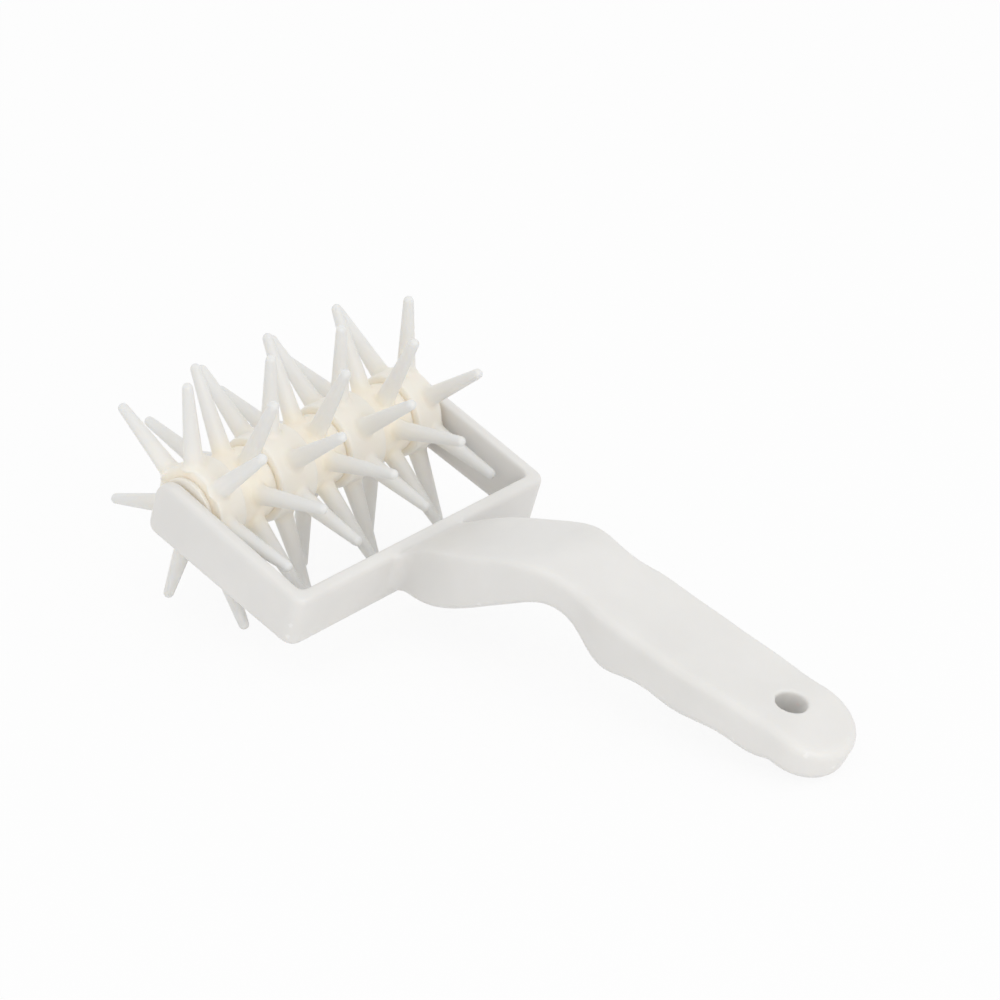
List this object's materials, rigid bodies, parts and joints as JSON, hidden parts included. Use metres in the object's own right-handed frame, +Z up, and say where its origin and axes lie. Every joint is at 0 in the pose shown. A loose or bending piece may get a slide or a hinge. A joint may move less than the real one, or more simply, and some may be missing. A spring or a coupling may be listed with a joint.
{
  "type": "dough docker",
  "caption": "Plastic dough docker: a square fork on a bent finger-grip handle, carrying a free-turning roller of staggered star wheels with blunt pins.",
  "frame": {"origin": "middle of the footprint, on the table that the docker lies on with its lowest pins and the end of its handle", "axes": "+X along the roller's axle, +Y from the handle's end towards the roller, +Z up"},
  "size_m": [0.0846, 0.1892, 0.0618],
  "materials": {
    "frame_plastic": "satin white moulded plastic",
    "roller_plastic": "translucent ivory moulded plastic",
    "axle_plastic": "ivory moulded plastic"
  },
  "bodies": {
    "frame": {"handle_frame": "frame_plastic"},
    "roller": {"axle": "axle_plastic", "star_wheel_1": "roller_plastic", "star_wheel_2": "roller_plastic", "star_wheel_3": "roller_plastic", "star_wheel_4": "roller_plastic", "star_wheel_5": "roller_plastic", "star_wheel_6": "roller_plastic", "star_wheel_7": "roller_plastic", "end_washer_left": "roller_plastic", "end_washer_right": "roller_plastic"}
  },
  "joints": [
    {"name": "roller_spin", "type": "hinge", "parent": "frame", "child": "roller", "pos_m": [0, 0.06383, 0.03082], "axis": [1, 0, 0], "continuous": true}
  ]
}
